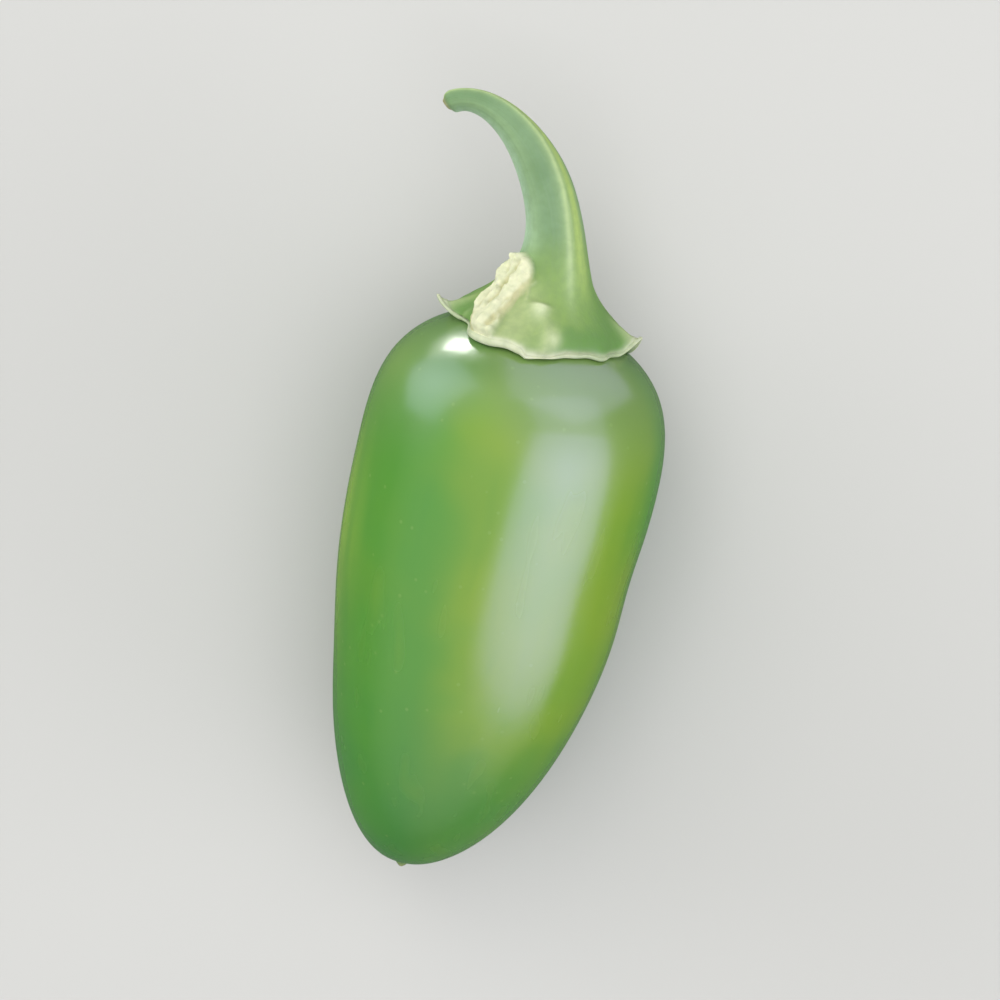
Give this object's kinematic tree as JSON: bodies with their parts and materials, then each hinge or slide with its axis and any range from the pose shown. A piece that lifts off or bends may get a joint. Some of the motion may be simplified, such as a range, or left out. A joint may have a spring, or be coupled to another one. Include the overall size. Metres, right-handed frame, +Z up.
{
  "type": "chilli pepper",
  "caption": "Green chilli pepper as picked, lying on its side: plump tapering pod with a waxy skin, under a toothed calyx and a hooked, ribbed stem.",
  "frame": {"origin": "centre of the small flat spot on the pod's underside, which it rests on", "axes": "+Z up, +Y along the pod from its tip to its stem, +X to the right when looking along +Y"},
  "size_m": [0.034, 0.0897, 0.034],
  "materials": {
    "pod_skin": "waxy green skin",
    "stem_skin": "matte pale green, ribbed"
  },
  "bodies": {
    "root": {"pod": "pod_skin", "calyx_and_stem": "stem_skin"}
  },
  "joints": []
}
